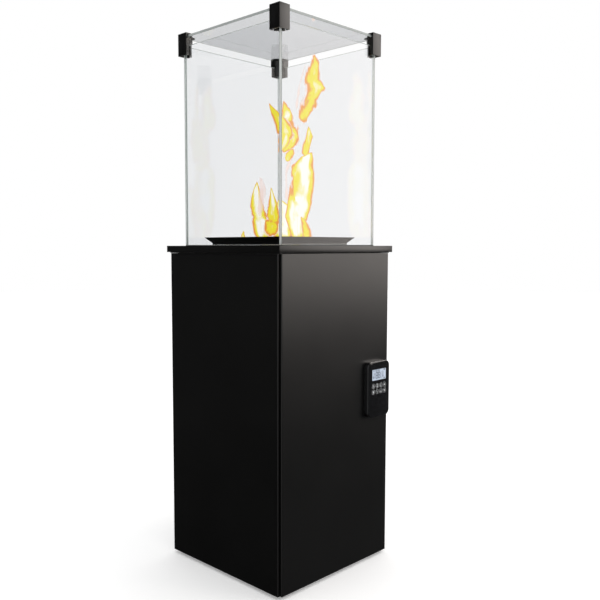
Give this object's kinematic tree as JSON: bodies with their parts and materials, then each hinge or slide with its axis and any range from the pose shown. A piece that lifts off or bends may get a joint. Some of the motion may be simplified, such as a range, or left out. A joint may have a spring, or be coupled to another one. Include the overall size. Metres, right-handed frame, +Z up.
{
  "type": "outdoor gas heater",
  "caption": "Square free-standing gas patio heater: black sheet cabinet with a hinged door, flared burner tray and a glass box with corner brackets, plus a remote handset.",
  "frame": {"origin": "on the floor, under the middle of the cabinet", "axes": "+Z up; -Y towards the door side; +X towards the side panel that carries the handset"},
  "size_m": [0.4193, 0.408, 1.334],
  "materials": {
    "black_powder_coat": "fine-textured semi-gloss powder coat",
    "zinc_sheet": "zinc-plated sheet, satin",
    "stainless": "brushed stainless steel, heat-tinted",
    "zinc_screw": "bright zinc plating",
    "foot_plastic": "moulded, fine texture",
    "bush_nylon": "turned nylon",
    "catch_plastic": "moulded, with a magnet inside",
    "bottle_paint": "gloss enamel on steel",
    "brass": "machined",
    "zinc_casting": "die-cast zinc, matt",
    "hose_rubber": "smooth orange gas hose",
    "strap_webbing": "woven polyester webbing",
    "valve_aluminium": "die-cast, blasted",
    "knob_plastic": "moulded, satin",
    "pipe_aluminium": "drawn tube",
    "lava_stone": "rough porous lava",
    "receiver_plastic": "moulded ABS",
    "cell_sleeve": "printed sleeve",
    "silicone": "matt silicone",
    "clear_glass": "toughened float glass, polished edges",
    "handset_plastic": "glossy moulded ABS",
    "handset_chrome": "polished plating",
    "handset_front": "black-backed glass with a clear display window",
    "circuit_board": "solder-masked laminate"
  },
  "bodies": {
    "cabinet": {"base_pan": "zinc_sheet", "post_front_left": "zinc_sheet", "post_front_right": "zinc_sheet", "post_back_left": "zinc_sheet", "post_back_right": "zinc_sheet", "top_ring": "zinc_sheet", "panel_left": "black_powder_coat", "panel_right": "black_powder_coat", "panel_back": "black_powder_coat", "deck_plate": "black_powder_coat", "foot_nuts": "zinc_screw", "hinge_bracket_lower": "zinc_sheet", "hinge_bracket_upper": "zinc_sheet", "door_catches": "catch_plastic", "panel_screws": "zinc_screw", "deck_screws": "zinc_screw", "gas_bottle": "bottle_paint", "bottle_valve": "brass", "regulator": "zinc_casting", "gas_hose": "hose_rubber", "bottle_strap": "strap_webbing", "valve_shelf": "zinc_sheet", "control_valve": "valve_aluminium", "gas_pipe": "pipe_aluminium", "injector": "brass", "burner_tray": "black_powder_coat", "burner_box": "stainless", "lava_stones": "lava_stone", "pilot_assembly": "stainless", "receiver_box": "receiver_plastic", "receiver_lid": "receiver_plastic", "receiver_batteries": "cell_sleeve", "glass_gasket": "silicone", "glass_front": "clear_glass", "glass_back": "clear_glass", "glass_left": "clear_glass", "glass_right": "clear_glass", "glass_top": "clear_glass", "bracket_front_left": "black_powder_coat", "bracket_front_right": "black_powder_coat", "bracket_back_left": "black_powder_coat", "bracket_back_right": "black_powder_coat", "bracket_pads": "silicone"},
    "door": {"door_panel": "black_powder_coat", "door_pivot_plates": "zinc_sheet", "pivot_bushes": "bush_nylon", "strike_plates": "zinc_screw"},
    "foot_fl": {"foot_front_left": "foot_plastic"},
    "foot_fr": {"foot_front_right": "foot_plastic"},
    "foot_bl": {"foot_back_left": "foot_plastic"},
    "foot_br": {"foot_back_right": "foot_plastic"},
    "knob": {"valve_knob": "knob_plastic"},
    "handwheel": {"bottle_handwheel": "knob_plastic"},
    "handset": {"handset_back": "handset_plastic", "handset_rim": "handset_chrome", "handset_glass": "handset_front", "handset_board": "circuit_board", "handset_batteries": "cell_sleeve", "handset_magnets": "zinc_screw"},
    "battery_cover": {"handset_cover": "handset_plastic"}
  },
  "joints": [
    {"name": "door_hinge", "type": "hinge", "parent": "cabinet", "child": "door", "pos_m": [-0.187, -0.193, 0.4], "axis": [0, 0, -1], "range_deg": [0, 110]},
    {"name": "gas_knob_turn", "type": "hinge", "parent": "cabinet", "child": "knob", "pos_m": [0, -0.16, 0.709], "axis": [0, -1, 0], "range_deg": [0, 180]},
    {"name": "bottle_wheel_turn", "type": "hinge", "parent": "cabinet", "child": "handwheel", "pos_m": [0, 0, 0.597], "axis": [0, 0, 1], "range_deg": [0, 630]},
    {"name": "handset_lift", "type": "slide", "parent": "cabinet", "child": "handset", "axis": [1, 0, 0], "range_m": [0, 0.06]},
    {"name": "battery_cover_slide", "type": "slide", "parent": "handset", "child": "battery_cover", "axis": [0, 0, -1], "range_m": [0, 0.045]},
    {"name": "foot_fl_turn", "type": "hinge", "parent": "cabinet", "child": "foot_fl", "pos_m": [-0.16, -0.16, 0.03], "axis": [0, 0, 1], "continuous": true},
    {"name": "foot_fr_turn", "type": "hinge", "parent": "cabinet", "child": "foot_fr", "pos_m": [0.16, -0.16, 0.03], "axis": [0, 0, 1], "continuous": true},
    {"name": "foot_bl_turn", "type": "hinge", "parent": "cabinet", "child": "foot_bl", "pos_m": [-0.16, 0.16, 0.03], "axis": [0, 0, 1], "continuous": true},
    {"name": "foot_br_turn", "type": "hinge", "parent": "cabinet", "child": "foot_br", "pos_m": [0.16, 0.16, 0.03], "axis": [0, 0, 1], "continuous": true}
  ]
}
